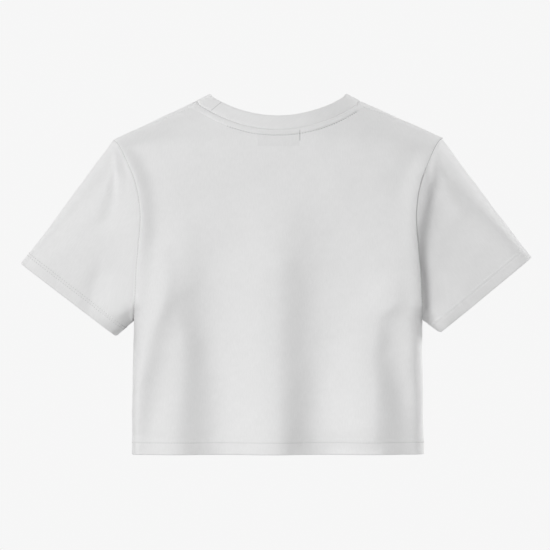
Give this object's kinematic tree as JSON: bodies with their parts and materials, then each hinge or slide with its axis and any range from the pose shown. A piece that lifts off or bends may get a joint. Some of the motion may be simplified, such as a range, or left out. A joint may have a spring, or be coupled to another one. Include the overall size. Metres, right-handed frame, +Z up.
{
  "type": "crop top",
  "caption": "Cropped short-sleeved cotton T-shirt with a rib crew neckband, filled out as if worn, hollow and open at neck, hem and cuffs.",
  "frame": {"origin": "middle of the neck opening, level with the points where the neckband meets the shoulder seams", "axes": "+Z up as worn, the front faces -Y and the back +Y, the wearer's left is +X"},
  "size_m": [0.6522, 0.2198, 0.459],
  "materials": {
    "jersey": "matte white cotton jersey, fine knit, soft folds",
    "rib": "matte white cotton one by one rib, folded double"
  },
  "bodies": {
    "root": {"back_panel": "jersey", "front_panel": "jersey", "sleeve_left": "jersey", "sleeve_right": "jersey", "neckband": "rib"}
  },
  "joints": []
}
